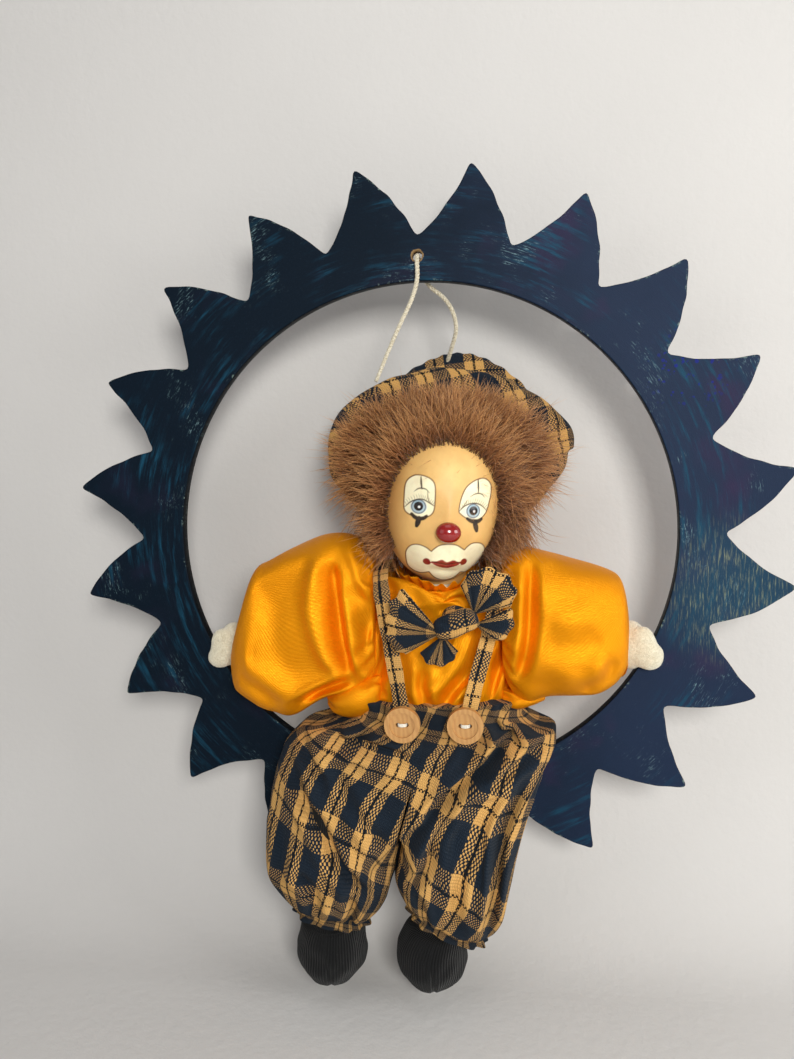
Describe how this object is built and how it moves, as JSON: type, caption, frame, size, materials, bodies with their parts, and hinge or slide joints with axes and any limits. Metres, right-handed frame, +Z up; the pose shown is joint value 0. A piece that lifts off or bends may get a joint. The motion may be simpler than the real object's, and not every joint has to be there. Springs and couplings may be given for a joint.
{
  "type": "marionette puppet",
  "caption": "Clown doll with fur hair, soft hat, satin blouse and plaid trousers, seated in a spiked wooden sun ring and hung from it by a cord.",
  "frame": {"origin": "centre of the sun ring's hang hole, half way through the wood", "axes": "+Z up, +X to the viewer's right, the doll faces -Y and +Y points at the wall"},
  "size_m": [0.277, 0.0814, 0.304],
  "materials": {
    "painted_wood": "brushed dark blue paint, worn pale at the edges",
    "cord": "twisted cream cord",
    "muslin": "plain cloth over stuffing",
    "thread": "white sewing thread",
    "satin": "glossy golden-orange satin",
    "felt": "cream felt",
    "elastic": "white covered elastic",
    "plaid": "woven navy and yellow plaid",
    "button_wood": "turned pale wood",
    "painted_head": "matt buff bisque with painted features",
    "fur": "auburn pile fur",
    "stockinette": "black ribbed stockinette"
  },
  "bodies": {
    "ring_and_body": {"blouse": "satin", "bow_band": "plaid", "bow_left_fan": "plaid", "bow_right_fan": "plaid", "bow_right_wing": "plaid", "bow_tail": "plaid", "collar": "satin", "hanging_cord": "cord", "left_arm": "muslin", "left_brace": "plaid", "left_button": "button_wood", "left_button_thread": "thread", "left_hand": "felt", "left_sleeve": "satin", "left_wrist_elastic": "elastic", "neck_tie": "thread", "right_arm": "muslin", "right_brace": "plaid", "right_button": "button_wood", "right_button_thread": "thread", "right_hand": "felt", "right_sleeve": "satin", "right_wrist_elastic": "elastic", "sun_ring": "painted_wood", "torso": "muslin", "trousers_seat": "plaid", "waist_elastic": "elastic"},
    "head": {"head": "painted_head", "wig": "fur", "hat_brim": "plaid", "hat_crown": "plaid"},
    "left_leg": {"left_trouser_leg": "plaid", "left_leg": "stockinette", "left_ankle_elastic": "elastic"},
    "right_leg": {"right_trouser_leg": "plaid", "right_leg": "stockinette", "right_ankle_elastic": "elastic"}
  },
  "joints": [
    {"name": "neck_turn", "type": "hinge", "parent": "ring_and_body", "child": "head", "pos_m": [0.008, -0.004, -0.1252], "axis": [0, 0, 1], "range_deg": [-20, 20]},
    {"name": "left_hip", "type": "hinge", "parent": "ring_and_body", "child": "left_leg", "pos_m": [-0.025, -0.024, -0.1972], "axis": [-1, 0, 0], "range_deg": [0, 75]},
    {"name": "right_hip", "type": "hinge", "parent": "ring_and_body", "child": "right_leg", "pos_m": [0.025, -0.024, -0.1972], "axis": [-1, 0, 0], "range_deg": [0, 75]}
  ]
}
